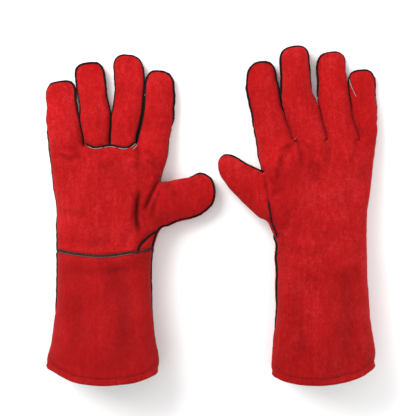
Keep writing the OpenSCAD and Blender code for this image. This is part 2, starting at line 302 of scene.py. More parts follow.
# How the seam lies round each digit, from its little side over the tip to its thumb side: the share of
# the way round, how far it rolls to the upper side (1) or the lower side (-1), and the welt's half width.
SEAM = {
    "palm_up": {
        "little": [(0, -0.3, 0.8), (0.32, -0.25, 0.8), (0.40, 0.45, 1.5), (0.55, 0.55, 1.8), (0.66, 0.5, 1.7),
                   (0.73, 0.1, 1.0), (1, -0.2, 0.8)],
        "ring": [(0, 0.1, 0.8), (0.28, 0.1, 0.9), (0.36, 0.5, 1.7), (0.5, 0.6, 2.0), (0.64, 0.55, 1.9),
                 (0.72, 0.25, 1.2), (0.8, 0, 0.9), (1, 0.1, 1.0)],
        "middle": [(0, 0.3, 1.2), (0.25, 0.2, 1.0), (0.36, -0.2, 0.8), (0.45, 0.25, 1.2), (0.6, 0.3, 1.2),
                   (0.68, 0.0, 0.8), (0.78, 0.3, 1.3), (1, 0.4, 1.5)],
        "index": [(0, 0.4, 1.5), (0.2, 0.4, 1.5), (0.35, 0.4, 1.6), (0.5, 0.35, 1.4), (0.6, 0.45, 1.7),
                  (0.75, 0.5, 2.0), (0.9, 0.4, 1.7), (0.96, -0.2, 0.9), (1, -0.3, 0.8)],
        "thumb": [(0, -0.3, 1.7), (0.07, -0.5, 0.8), (0.2, -0.4, 0.8), (0.42, 0.6, 1.7), (0.5, 0.85, 2.1),
                  (1, 0.9, 2.1)],
    },
    "palm_down": {
        "little": [(0, -0.3, 0.8), (0.22, -0.2, 0.8), (0.34, 0.25, 1.1), (0.5, 0.4, 1.4), (0.62, 0.35, 1.3),
                   (0.76, 0.3, 1.3), (0.80, -0.3, 0.5), (0.82, -0.5, 0), (1, -0.6, 0)],
        "ring": [(0, -0.6, 0), (0.26, -0.5, 0), (0.28, -0.4, 0.7), (0.42, -0.2, 0.8), (0.54, 0.1, 1.0),
                 (0.59, 0.55, 2.0), (0.72, 0.6, 2.1), (0.76, 0.2, 1.3), (0.79, -0.4, 0.5), (0.81, -0.5, 0),
                 (1, -0.6, 0)],
        "middle": [(0, -0.6, 0), (0.2, -0.5, 0), (0.22, -0.3, 0.7), (0.3, 0, 0.8), (0.37, 0.35, 1.3),
                   (0.5, 0.3, 1.3), (0.57, 0.4, 1.6), (0.62, 0.6, 2.1), (0.77, 0.5, 1.9), (0.80, -0.2, 0.8),
                   (0.83, -0.4, 0), (1, -0.6, 0)],
        "index": [(0, -0.6, 0), (0.14, -0.4, 0), (0.17, -0.2, 0.9), (0.22, 0.1, 1.1), (0.3, 0.3, 1.4),
                  (0.44, 0.35, 1.5), (0.52, 0.45, 1.7), (0.58, 0.15, 1.1), (0.63, 0.45, 1.8),
                  (0.9, 0.55, 2.0), (0.97, 0.1, 1.1), (1, 0, 0.8)],
        "thumb": [(0, 0.7, 1.7), (0.3, 0.75, 1.8), (0.4, 0.4, 1.2), (0.48, -0.3, 0.8), (1, -0.5, 0.8)],
    },
}
# The same down the sides of hand and cuff, by height from the knuckles.
SEAM_SIDE = {
    "palm_up": {
        "little": [(-250, -0.4, 0.8), (-190, -0.35, 0.8), (-172, 0.2, 1.1), (-105, 0.2, 1.1),
                   (-88, -0.2, 0.8), (-40, -0.1, 0.8), (10, 0.15, 1.0), (30, 0.1, 0.9), (60, -0.2, 0.8)],
        "thumb": [(-250, -0.5, 0.8), (-180, -0.3, 0.8), (-150, 0.1, 1.0), (-124, 0.3, 1.1), (-116, 0.85, 1.9),
                  (-60, 0.9, 2.1), (-52, -0.3, 0.9), (60, -0.3, 0.8)],
    },
    "palm_down": {
        "little": [(-250, -0.5, 0.8), (60, -0.5, 0.8)],
        "thumb": [(-250, -0.5, 0.8), (-205, -0.4, 0.8), (-186, 0.3, 1.2), (-160, 0.5, 1.8), (-112, 0.5, 1.8),
                  (-104, -0.5, 0.8), (-40, -0.5, 0.8), (-20, -0.1, 0.9), (60, 0.3, 1.2)],
    },
}
# Thread that shows: what it is called, its part, its material and its strokes.
THREADS = {
    "palm_up": [
        ("finger_seam_thread", "hand", "thread", [
            [(28.5, 74.3), (31, 76.2), (33.6, 79.6)], [(30.2, 72.6), (33, 74.6), (35.3, 78.2)],
            [(-18, 75.6), (-10.5, 73.0), (-2, 74.2)], [(0, 74.4), (6, 75.2), (13, 74.3)],
            [(15, 73.8), (21, 72.6), (26, 73.4)]]),
        ("wrist_seam_thread", "cuff", "dark_thread", [
            [(-49, -36.6), (-30, -39.8), (-9, -41.8), (8, -41.6), (20, -40.2), (32, -38.1)]]),
        ("index_thread_ends", "index", "thread", [
            [(43.6, 133.5), (43.2, 131.2)], [(42.0, 125.4), (41.8, 122.6)], [(39.6, 108), (39.2, 105)]]),
    ],
    "palm_down": [
        ("crotch_knot", "hand", "welt", [
            [(25.4, 84.0), (29, 81.6), (31.4, 81.2)], [(26.2, 79.8), (29.6, 83.4)]]),
        ("crotch_knot_thread", "hand", "thread", [
            [(27.6, 84.6), (28.6, 82.8)], [(47.4, -19.0), (48.0, -21.0)]]),
        ("little_thread_end", "little", "thread", [[(-31.4, 150), (-33.0, 143), (-35.8, 136), (-38.4, 130)]]),
        ("index_thread_ends", "index", "wrist_welt", [
            [(70.8, 166.6), (67, 168.4), (63, 169)], [(62, 168.6), (58.5, 169.2)],
            [(57.5, 168), (54.6, 166.6)]]),
    ],
}
# The hem binding's profile, up the cuff and out of it.
BINDING = [(5.2, 0.35), (4.6, 0.75), (1.0, 0.8), (-0.6, 0.3), (-1.2, -0.9), (-1.1, -2.4), (-0.4, -3.7),
           (1.2, -4.0), (5.0, -3.9), (5.2, -3.5), (3.0, -1.6)]
STITCH = 2.2            # length of one of its stitches
STITCH_PITCH = 3.4
# Half width and half thickness of the welts in the upper sheet's own seams.
INNER_WELTS = {"palm_up": {"root": (1.1, 1.15), "patch": (1.1, 1.5)}, "palm_down": {"patch": (0.8, 1.0)}}


# ---------- what the frame says about each glove ----------

class Glove:
    def __init__(self, name):
        self.name = name
        self.c, self.wrist_y, _ = self.joint("wrist")
        self.sgn = 1 if self.joint("thumb")[0] > self.c else -1
        self.knuckle_y = self.joint("ring")[1]
        self.up = self.node("palm")[:, 2].max() > self.node("hand_back")[:, 2].max()
        self.digits = {d: self.digit(d) for d in FINGERS + ("thumb",)}

    def joint(self, which):
        return np.array(JOINTS[f"{self.name}_{which}_bend"]["pos_m"]) * 1000

    def node(self, part):
        verts = frame["nodes"][f"{self.name}_{part}"].data.vertices
        co = np.zeros(len(verts) * 3)
        verts.foreach_get("co", co)
        return co.reshape(-1, 3) * 1000

    def plan(self, p):
        q = np.array(p, float)
        q[..., 0] = (q[..., 0] - self.c) * self.sgn
        return q

    def world(self, p):
        """Points of the plan in the frame, in metres."""
        q = np.array(p, float)
        q[..., 0] = q[..., 0] * self.sgn + self.c
        return q / 1000

    def digit(self, d):
        """A digit's hinge, axis and length, and its widths and heights near the root and past the middle."""
        root = self.plan(self.joint(d))[:2]
        pts = np.vstack([self.plan(self.node(f"{d}_{sheet}")) for sheet in ("front", "back")])
        axis = np.array(JOINTS[f"{self.name}_{d}_bend"]["axis"])
        along = unit(np.array([-axis[1] * self.sgn, axis[0]]))
        if (pts[:, :2].mean(0) - root) @ along < 0:
            along = -along
        side = np.array([-along[1], along[0]])
        s, l = (pts[:, :2] - root) @ along, (pts[:, :2] - root) @ side
        length = s.max()
        near, far = s < 0.3 * length, (s > 0.42 * length) & (s < 0.75 * length)
        return {
            "root": root, "along": along, "side": side, "length": length,
            "w": (2 * np.abs(l[near]).max(), 2 * np.abs(l[far]).max()),
            "t": (pts[near, 2].max(), pts[far, 2].max()),
        }

    def centre(self, d, s):
        """Points on a finger's centre line, by distance from its root."""
        f = self.digits[d]
        share = np.clip(s / f["length"], 0, 1)
        bow = BOW[self.name][d] * np.sin(np.pi * share) + TIP[self.name][d][0] * share ** 2
        return f["root"] + s[:, None] * f["along"] - bow[:, None] * f["side"]

    def place(self, d, p):
        """How far points are along a finger, and beside its centre line."""
        f = self.digits[d]
        s = (p - f["root"]) @ f["along"]
        return s, (p - self.centre(d, s)) @ f["side"]

    def slice(self, parts, y):
        """Lowest and highest u, and highest z, of some nodes where they cross y."""
        cuts = []
        for part in parts:
            edges = frame["nodes"][f"{self.name}_{part}"].data.edges
            p = self.plan(self.node(part))
            e = np.zeros(len(edges) * 2, int)
            edges.foreach_get("vertices", e)
            a, b = p[e[0::2]], p[e[1::2]]
            m = (a[:, 1] - y) * (b[:, 1] - y) < 0
            t = (y - a[m, 1]) / (b[m, 1] - a[m, 1])
            cuts.append(a[m] + (b[m] - a[m]) * t[:, None])
        cuts = np.vstack(cuts)
        return cuts[:, 0].min(), cuts[:, 0].max(), cuts[:, 2].max()

    def drawn(self, points):
        """A line that is drawn on the glove, in its plan."""
        return [(u, y + self.knuckle_y - DRAWN_KNUCKLES) for u, y in points]


# ---------- the outline ----------

def finger_sides(g, d):
    """A finger's little side and its thumb side, each along its length and then round the tip."""
    n, f = g.name, g.digits[d]
    _, wider, bluff = TIP[n][d]
    w1 = f["w"][1] + 2 * PROUD + wider
    w0 = f["w"][0] + 2 * PROUD + (ROOT_SWELL[n] if d in ("ring", "middle") else 2)
    r = w1 / 2
    tip_s = f["length"] + PROUD - r
    s = np.arange(-24.0, tip_s, 1.0)
    half = 0.5 * (w0 + (w1 - w0) * smooth(s, -4, 0.38 * f["length"]))
    half -= WAIST[n][d] * bell(s / f["length"] - 0.55, 0.16)
    a = np.radians(np.arange(0, 91, 6.0))
    round_s = tip_s + r * np.sin(a) ** (bluff + 0.1)
    sides = []
    for way, seed in ((1, 0), (-1, 2)):
        uneven = np.array([wave(x, 13, FINGERS.index(d) * 5 + seed + g.sgn) for x in s])
        uneven = uneven * 0.9 * smooth(s, -10, 8) * (1 - smooth(s, tip_s - 10, tip_s))
        straight = g.centre(d, s) + way * (half + uneven)[:, None] * f["side"]
        tip = g.centre(d, round_s) + way * (r * np.cos(a) ** bluff)[:, None] * f["side"]
        sides.append(np.vstack([straight, tip]))
    return sides


def part_neighbours(g, sides):
    """The sides that face each other. Where two fingers touch, a narrow slit runs between them."""
    n = g.name
    low, high = {}, {}
    for k, (a, b) in enumerate(zip(FINGERS, FINGERS[1:])):
        crotch, touch = g.knuckle_y + CROTCH[n][k], g.knuckle_y + TOUCH[n][k]
        hi, lo = sides[a][1], sides[b][0]
        ys = np.arange(crotch, min(hi[:, 1].max(), lo[:, 1].max()) - 3, 1.0)
        uh, ul = np.interp(ys, hi[:, 1], hi[:, 0]), np.interp(ys, lo[:, 1], lo[:, 0])
        mid = (uh + ul) / 2
        gap = SLIT * smooth(ys, crotch - 1, crotch + 6)
        opening = smooth(ys, touch - 2, touch + PARTING[n])
        led = (ul - uh < gap) | (ys < touch) | (opening < 1)
        apart = np.maximum(ul - uh, gap)
        gap = np.where(ys < touch, gap, gap + (apart - gap) * opening)
        uh, ul = eased(np.where(led, mid - gap / 2, uh), 3), eased(np.where(led, mid + gap / 2, ul), 3)
        uh[0] = ul[0] = mid[0]
        high[a] = np.vstack([np.column_stack([uh, ys]), hi[hi[:, 1] > ys[-1]]])
        low[b] = np.vstack([np.column_stack([ul, ys]), lo[lo[:, 1] > ys[-1]]])
    return low, high


def build_outline(g):
    """The seam's path in plan, from the little side's hem corner round to the thumb side's, and the hem."""
    n = g.name
    g.hem_y = g.node("cuff_binding")[:, 1].min()
    g.corner_y = g.node("cuff_side_welt")[:, 1].min() - 5.5
    left, right = [], []
    for y in (g.corner_y + 8, *CUFF_HEIGHTS, g.wrist_y - 16):
        lo, hi, _ = g.slice(CUFF, y)
        left.append((lo - PROUD, y))
        right.append((hi + PROUD, y))
    left.insert(0, (left[0][0] - 1.6, g.corner_y))
    right.insert(0, (right[0][0] + 1.2, g.corner_y))
    for y in (g.wrist_y + 16, *HAND_HEIGHTS, g.knuckle_y - 14):
        lo, hi, _ = g.slice(HAND, y)
        left.append((lo - PROUD, y))
        if y > 50:          # below that, the thumb is in the way
            right.append((hi + PROUD, y))
    right.sort(key=lambda p: -p[1])
    sides = {d: finger_sides(g, d) for d in FINGERS}
    low, high = part_neighbours(g, sides)
    runs, names = [], []

    def add(points, label):
        runs.append(points)
        names.extend([label] * len(points))

    outer = sides["little"][0]
    outer = outer[outer[:, 1] > g.knuckle_y + 10]
    start = spline(left + [tuple(outer[0])])
    add(start[start[:, 1] < g.knuckle_y + 8], "side")
    add(outer, "little")
    add(high["little"][::-1], "little")
    for d in ("ring", "middle"):
        add(low[d][1:], d)
        add(high[d][::-1], d)
    add(low["index"][1:], "index")
    outer = sides["index"][1][::-1]
    outer = outer[outer[:, 1] > g.knuckle_y + 10]
    th = g.digits["thumb"]
    local = [th["root"] + s * th["along"] + l * th["side"] for s, l in THUMB[n]]
    g.thumb_crotch = local[0]
    upper = [tuple(outer[-1])] + [p for p in right if p[1] > local[0][1] + 8] + [tuple(local[0])]
    add(outer[:-1], "index")
    add(spline(upper)[:-1], "side")
    add(spline(local + [p for p in right if p[1] < g.wrist_y + 2]), "thumb")
    # even spacing, with each point keeping the label of the nearest original one
    path = np.vstack(runs)
    even = resample(path, STEP)
    labels = np.array(names)[nearest(even, path)[0]]
    before_thumb = (even - th["root"]) @ th["along"] < -2
    labels = np.where((labels == "thumb") & before_thumb, "side", labels)
    for d in FINGERS:
        labels = np.where((labels == d) & (even[:, 1] < g.knuckle_y + CUT[n]), "side", labels)
    # the departures, down both sides and at the hem
    rel, order = even[:, 1] - g.knuckle_y, np.arange(len(even))
    first = (rel < 66) & (order < np.flatnonzero(labels == "little").mean())
    last = (order > np.flatnonzero(labels == "index").mean()) & (labels != "thumb")
    for on, side, seed in ((first, "little", 6), (last, "thumb", 5)):
        even[on, 0] += lookup(rel[on], SIDE_SHIFT[n][side])
        away = smooth(rel[on], -232, -215)
        even[on, 0] += away * np.array([0.8 * wave(x, 21, g.sgn + seed) for x in rel[on]])
    on = np.flatnonzero(labels == "thumb")
    even[on] += th["side"] * np.array([[0.5 * wave(k * STEP, 12, g.sgn)] for k in range(len(on))])
    near_hem = 1 - smooth(even[:, 1], g.corner_y + 2, g.corner_y + 34)
    even[:, 1] += near_hem * lookup(even[:, 0], HEM_SHIFT[n])
    a, b = even[-1], even[0]
    t = np.linspace(0, 1, int(np.linalg.norm(a - b) / STEP) + 1)[1:-1]
    hem = a + (b - a) * t[:, None]
    hem[:, 1] = g.corner_y - (g.corner_y - g.hem_y) * (1 - (2 * t - 1) ** 2) ** 0.8
    hem[:, 1] += lookup(hem[:, 0], HEM_SHIFT[n])
    return even, labels, hem


def seam_of(g, ring, labels):
    """How far the seam rolls, and the welt's half width, along the outline."""
    look = np.zeros((len(labels), 2))
    run = run_of(ring)
    for d in g.digits:
        on = np.flatnonzero(labels == d)
        t = (run[on] - run[on[0]]) / (run[on[-1]] - run[on[0]])
        for k in (0, 1):
            look[on, k] = lookup(t, SEAM[g.name][d], k + 1)
    for half, side in ((ring[:, 0] < 0, "little"), (ring[:, 0] >= 0, "thumb")):
        on = half & (labels == "side")
        for k in (0, 1):
            look[on, k] = lookup(ring[on, 1] - g.knuckle_y, SEAM_SIDE[g.name][side], k + 1)
    return eased(look, 4).T


# ---------- the flat pattern ----------

def plan_mesh(g):
    """The glove's flat pattern as a triangle mesh: points, triangles and what lies where."""
    seam, labels, hem = build_outline(g)
    roll, wide = seam_of(g, seam, labels)
    # where a wide welt stands out, the seam itself draws in
    tang = unit(np.gradient(seam, axis=0))
    seam = seam + np.column_stack([tang[:, 1], -tang[:, 0]]) * (np.maximum(wide - THIN, 0) * 0.7)[:, None]
    ring = np.vstack([seam, hem])
    n_seam, n_ring = len(seam), len(ring)
    # the hem's corners are round
    from_corner = np.minimum(*[np.linalg.norm(ring - ring[i], axis=1) for i in (0, n_seam - 1)])
    ease = 0.5 * bell(from_corner, 10)[:, None]
    for _ in range(14):
        ring = ring + ease * ((np.roll(ring, 1, 0) + np.roll(ring, -1, 0)) / 2 - ring)
    tang = unit(np.roll(ring, -1, 0) - np.roll(ring, 1, 0))
    inward = np.column_stack([tang[:, 1], -tang[:, 0]])[:n_seam]
    closed = np.vstack([ring, ring[:1]])
    pts = [tuple(p) for p in ring]
    edges = [(i, (i + 1) % n_ring) for i in range(n_ring)]
    lines = {}

    def snap(p):
        return int(((ring - p) ** 2).sum(1).argmin())

    def add_row(name, start, row, end):
        """A line that the mesh's edges follow: known points, a row of new ones, and known points."""
        ids = start + list(range(len(pts), len(pts) + len(row))) + end
        pts.extend(tuple(p) for p in row)
        edges.extend(zip(ids, ids[1:]))
        lines[name] = ids

    def add_seam(name, from_edge=False, to_edge=False):
        """A seam whose ends lie free inside the outline, or on it."""
        curve = resample(spline(g.drawn(SEAMS[g.name][name])), STEP)
        row = curve[1:-1]
        row = row[inside(row, ring) & (to_polyline(row, closed)[0] > 0.8)]
        row = row if from_edge else np.vstack([curve[:1], row])
        row = row if to_edge else np.vstack([row, curve[-1:]])
        add_row(name, [snap(curve[0])] if from_edge else [], row, [snap(curve[-1])] if to_edge else [])

    def add_cut(name, lo, hi):
        add_row(name, [lo], resample([ring[lo], ring[hi]], STEP)[1:-1], [hi])

    add_seam("wrist", from_edge=True, to_edge=True)
    if g.up:
        # the patch's seam leaves the wrist seam and runs out to the side
        drawn = g.drawn(SEAMS[g.name]["patch"])
        first = min(lines["wrist"], key=lambda i: math.dist(pts[i], drawn[0]))
        row = [p for p in resample(spline(drawn), STEP)[1:-1] if math.dist(p, pts[first]) > 1.2]
        add_row("patch", [first], row, [snap(drawn[-1])])
    else:
        add_seam("patch", to_edge=True)
    add_seam("root")
    # cuts, where one piece bends and the next does not
    y = g.knuckle_y + CUT[g.name]
    level = [i for i in range(n_seam) if abs(ring[i, 1] - y) < 1.2 * STEP]
    for d in FINGERS:
        middle = g.centre(d, np.array([y - g.digits[d]["root"][1]]))[0, 0]
        off = np.abs(ring[:, 1] - y) + np.abs(ring[:, 0] - middle) * 0.3
        lo = min((i for i in level if ring[i, 0] < middle), key=lambda i: off[i])
        hi = min((i for i in level if ring[i, 0] > middle), key=lambda i: off[i])
        add_cut("cut_" + d, lo, hi)
    thumb = [i for i in range(n_seam) if labels[i] == "thumb"]
    add_cut("cut_thumb", thumb[0], thumb[-1])
    # layers just inside the seam, then an even lattice
    layers = []
    for off in LAYERS:
        p = ring[:n_seam] + inward * off
        layers.append(p[inside(p, ring) & (to_polyline(p, closed)[0] > off * 0.93)])
    lo, hi = ring.min(0), ring.max(0)
    rows = []
    for k, y in enumerate(np.arange(lo[1], hi[1], STEP * 0.866)):
        xs = np.arange(lo[0] + (k % 2) * STEP / 2, hi[0], STEP)
        rows.append(np.column_stack([xs, np.full(len(xs), y)]))
    lattice = np.vstack(rows)
    lattice = lattice[inside(lattice, ring)]
    lattice = lattice[to_polyline(lattice, closed)[0] > LATTICE_INSET]
    rng = np.random.default_rng(3)
    lattice = lattice + rng.uniform(-0.2, 0.2, lattice.shape)
    fixed, extra = np.array(pts), np.vstack(layers + [lattice])
    extra = extra[nearest(extra, fixed[n_ring:])[1] > 0.62 * STEP]
    everything = [Vector(p) for p in np.vstack([fixed, extra])]
    verts, _, faces, orig, _, _ = delaunay_2d_cdt(everything, edges, [], 1, 1e-5)
    new = np.array([tuple(v) for v in verts])
    back = {old: i for i, olds in enumerate(orig) for old in olds}
    faces = np.array([f for f in faces if len(f) == 3])
    a, b, c = (new[faces[:, k]] for k in range(3))
    area, centre = cross2(b - a, c - a), (a + b + c) / 3
    keep = (np.abs(area) > 1e-3) & inside(centre, ring)
    faces, area, centre = faces[keep], area[keep], centre[keep]
    faces[area < 0] = faces[area < 0][:, ::-1]
    return {
        "p": new, "f": faces, "centre": centre, "labels": labels, "roll": roll, "wide": wide,
        "edge": ring[:n_seam], "inward": inward, "seam": np.array([back[i] for i in range(n_seam)]),
        "hem": np.array([back[i % n_ring] for i in range(n_seam - 1, n_ring + 1)]),
        "lines": {name: np.array([back[i] for i in ids]) for name, ids in lines.items()},
    }


def regions(g, m):
    """The part that each triangle of the flat pattern belongs to."""
    c = m["centre"]
    part = np.full(len(c), "hand", dtype="<U8")

    def height_of(name):
        """How high a line lies at each triangle's place across."""
        line = m["p"][m["lines"][name]]
        line = line[np.argsort(line[:, 0])]
        return np.interp(c[:, 0], line[:, 0], line[:, 1])

    part[c[:, 1] < height_of("wrist")] = "cuff"
    owner = np.array([np.abs(g.place(d, c)[1]) for d in FINGERS]).argmin(0)
    for k, d in enumerate(FINGERS):
        part[(owner == k) & (c[:, 1] > height_of("cut_" + d))] = d
    th = g.digits["thumb"]
    a, b = m["p"][m["lines"]["cut_thumb"][[0, -1]]]
    across = b - a
    t = ((c - a) @ across) / (across @ across)
    thumb_side = np.sign(cross2(th["root"] + 40 * th["along"] - a, across))
    part[(cross2(c - a, across) * thumb_side > 0) & (t > -0.02) & (t < 1.15) & (c[:, 0] > 40)] = "thumb"
    return part


# ---------- inflating the pattern ----------

def laplacian(p, f):
    """Cotangent weights per edge, and each point's share of area."""
    i, j, w = [], [], []
    area = np.zeros(len(p))
    for k in range(3):
        a, b, c = f[:, k], f[:, (k + 1) % 3], f[:, (k + 2) % 3]
        u, v = p[b] - p[a], p[c] - p[a]
        cross = np.abs(cross2(u, v))
        i.append(b)
        j.append(c)
        w.append(np.clip((u * v).sum(1) / np.maximum(cross, 1e-6), -3, 30) / 2)
        np.add.at(area, a, cross / 6)
    return np.concatenate(i), np.concatenate(j), np.concatenate(w), area


def solve(p, f, fixed, k_screen, source):
    """Solves (screening - Laplacian) s = source, with s = 0 on the fixed points."""
    i, j, w, area = laplacian(p, f)
    n = len(p)
    diag = np.bincount(i, w, n) + np.bincount(j, w, n) + k_screen * area
    free = np.ones(n)
    free[fixed] = 0

    def apply(x):
        x = x * free
        y = diag * x - np.bincount(i, w * x[j], n) - np.bincount(j, w * x[i], n)
        return y * free

    b = source * area * free
    x = np.zeros(n)
    r = b - apply(x)
    z = r / np.maximum(diag, 1e-9)
    d = z.copy()
    rz = r @ z
    for _ in range(700):
        q = apply(d)
        alpha = rz / max(d @ q, 1e-20)
        x += alpha * d
        r -= alpha * q
        if np.abs(r).max() < 1e-6:
            break
        z = r / np.maximum(diag, 1e-9)
        rz, old = r @ z, rz
        d = z + (rz / old) * d
    return x


def crest(s, where, on, start, end):
    """For each point, the highest s of those that are on and lie about as far along."""
    stations = np.arange(start, end, 4.0)
    peaks = [s[on & (np.abs(where - at) < 4)].max() for at in stations]
    return np.interp(where, stations, peaks)


def thickness(g, p, s):
    """Half the thickness wanted at each point, and the s at which the glove is that thick."""
    u, y = p[:, 0], p[:, 1]
    ys = np.arange(g.hem_y, g.knuckle_y - 4, 6.0)
    tall = []
    for at in ys:
        parts = CUFF if at < g.wrist_y else HAND
        at = max(at, g.corner_y + 14)
        if abs(at - g.wrist_y) < 14:
            at = g.wrist_y + (14 if at > g.wrist_y else -14)
        tall.append(g.slice(parts, min(at, g.knuckle_y - 12))[2] / 2)
    half = np.interp(y, ys, eased(tall, 4))
    ref = crest(s, y, np.abs(u) < 62, g.hem_y + 2, g.knuckle_y)

    def digit_takes_over(f, along, w, on, share):
        t = 0.5 * (f["t"][0] + (f["t"][1] - f["t"][0]) * np.clip(along / (share * f["length"]), 0, 1))
        r = crest(s, along, on, 0, f["length"] - f["w"][1] / 2)
        return half * (1 - w) + t * w, ref * (1 - w) + r * w

    places = [g.place(d, p) for d in FINGERS]
    owner = np.array([np.abs(beside) for _, beside in places]).argmin(0)
    for k, d in enumerate(FINGERS):
        mine = (owner == k) & (y > g.knuckle_y - 22)
        w = smooth(y, g.knuckle_y - 16, g.knuckle_y + 16) * mine
        half, ref = digit_takes_over(g.digits[d], places[k][0], w, mine, 0.8)
    th = g.digits["thumb"]
    along, beside = (p - th["root"]) @ th["along"], (p - th["root"]) @ th["side"]
    mine = (u > 30) & ((y < g.thumb_crotch[1] + 6) | ((along > 2) & (beside < 23)))
    w = smooth(along, -34, 2) * mine
    return digit_takes_over(th, along, w, mine & (np.abs(beside) < 28), 0.7)


def fold(points, line, width, depth):
    """A crease along a line: a valley with a low ridge to each side."""
    d, where = to_polyline(points, spline(line, 2.0))
    ends = np.clip(np.sin(np.pi * np.clip(where, 0.001, 0.999)) * 1.6, 0, 1) ** 0.8
    return ends * depth * (0.42 * bell(d / width - 1.9, 1) - bell(d, width))


def relief(g, m):
    """The upper sheet's creases, hollows and seams: how far it rises, and how much painted shade darkens it.
    """
    p = m["p"]
    dz, dull = np.zeros(len(p)), np.zeros(len(p))
    for width, depth, *line in FOLDS[g.name]:
        cut = fold(p, g.drawn(line), width, depth)
        dz += cut
        # painted shade: each crease's valley is darkened by its depth
        dull += 0.115 * np.maximum(-cut, 0)
    for width, depth, *line in HOLLOWS[g.name]:
        dist, where = to_polyline(p, np.array(g.drawn(line)))
        hollow = depth * bell(dist, width) * smooth(where, 0, 0.15)
        dz -= hollow
        # painted shade: each hollow is darkened by its depth
        dull += 0.02 * hollow
    for name in ("wrist", "patch", "root") if g.up else ("patch",):
        dist, _ = to_polyline(p, p[m["lines"][name]])
        dz += -1.9 * bell(dist, 1.7) + 0.9 * bell(dist - 4.5, 2.6)
        dz += bell(dist - 2.5, 4.5) * 0.55 * grain(p * np.array([1, 0.45]), 5.5, 11)
        # painted shade along the seam's valley
        dull += 0.3 * bell(dist, 1.8)
    dz += 1.5 * grain(p, 38, 1) + 0.75 * grain(p, 17, 2) + 0.28 * grain(p, 7, 3)
    return dz, dull


def inflate(g, m):
    """Adds the upper and lower sheets, their normals and their painted shade and random tone to the flat
    pattern.
    """
    p = m["p"]
    # screening: full, flat-topped hand and fingers, rounder cuff
    reach = 19 + 26 * smooth(-p[:, 1], -g.wrist_y - 15, -g.wrist_y + 60)
    s = np.maximum(solve(p, m["f"], m["seam"], 1 / reach ** 2, 1 / reach ** 2), 0)
    half, ref = thickness(g, p, s)
    full = np.sqrt(np.clip(s / np.maximum(ref, 1e-6), 0, 1.6))
    flat = 1 - (1 - np.clip(full, 0, 1)) ** 1.7
    # the seam rolls up or down, and the sheet that wraps round it bulges outwards
    near, d = nearest(p, m["edge"])
    roll, outward = m["roll"][near], -m["inward"][near]
    lift = ROLL_LIFT * roll * bell(d, 2.6)
    tuck = ROLL_TUCK * np.abs(roll) * bell(d, 1.5)
    wrap = ROLL_BULGE * smooth(np.abs(roll), 0.05, 0.5) * (d / 1.8) * np.exp(1 - d / 1.8)
    puff = 0.25 * np.abs(roll) * d * np.exp(-d / 3)
    for sheet, h, sign in (("top", half * full, 1), ("bottom", half * np.clip(flat * 1.12, 0, 1), -1)):
        shift = np.where(roll * sign < 0, wrap, puff) - tuck
        m[sheet] = np.column_stack([p + outward * shift[:, None], half + sign * h + lift])
    top, bottom = m["top"], m["bottom"]
    dz, dull = relief(g, m)
    # puckers that run in from the seam
    run = run_of(m["edge"])[near]
    pucker = np.array([noise.noise(Vector((a / 6.5, b / 30, 4.2))) for a, b in zip(run, d)])
    top[:, 2] += dz * smooth(d, 0.0, 6.0) + 0.9 * pucker * np.exp(-d / 7) * smooth(d, 0.3, 2.2)
    bottom[:, 2] += 0.6 * np.maximum(0, grain(p, 22, 5)) * smooth(d, 0, 6) * smooth(-bottom[:, 2], -60, 0)
    # it rests flat, but for the room that its seams and the hem's binding take
    from_hem = to_polyline(p, p[m["hem"]])[0]
    rest = 0.15 + 0.95 * np.exp(-(from_hem / 7) ** 4)
    if not g.up:
        for name in ("wrist", "root"):
            rest += 1.5 * bell(to_polyline(p, p[m["lines"][name]])[0], 3.2)
    bottom[:, 2] = np.maximum(bottom[:, 2], rest)
    top[m["seam"]] = bottom[m["seam"]] = (top[m["seam"]] + bottom[m["seam"]]) / 2
    # painted shade along the line where the hem's binding ends, and in the groove between two fingers with no
    # welt in sight
    dull += 0.3 * bell(from_hem - 6.4, 1.1)
    dull += 0.6 * smooth(THIN - m["wide"][near], 0.1, 0.7) * bell(d, 2.3)
    # the upper sheet's painted shade gets a random tone on top; the lower sheet gets only a random tone
    m["dull"] = {"top": np.clip(dull + 0.12 * grain(p, 26, 8), -0.15, 0.65), "bottom": 0.1 * grain(p, 26, 9)}
    m["n_top"], m["n_bottom"] = vertex_normals(top, m["f"]), vertex_normals(bottom, m["f"][:, ::-1])
    m["d"] = d
    return m


# ---------- meshes ----------

def vertex_normals(v, f):
    """Each point's normal, from the faces round it by their size."""
    n = np.cross(v[f[:, 1]] - v[f[:, 0]], v[f[:, 2]] - v[f[:, 0]])
    out = np.zeros_like(v)
    for k in range(3):
        np.add.at(out, f[:, k], n)
    return unit(out)


def piece(name, verts, faces, loop_normals=None):
    """A mesh object from points in metres. What would press into the table lies flat on it."""
    verts = np.array(verts)
    verts[:, 2] = np.maximum(verts[:, 2], TABLE / 1000)
    mesh = bpy.data.meshes.new(name)
    mesh.from_pydata([tuple(v) for v in verts], [], [tuple(int(i) for i in f) for f in faces])
    mesh.polygons.foreach_set("use_smooth", [True] * len(mesh.polygons))
    if loop_normals is not None:
        mesh.normals_split_custom_set([tuple(n) for n in loop_normals])
    mesh.update()
    o = bpy.data.objects.new(name, mesh)
    bpy.context.scene.collection.objects.link(o)
    return o


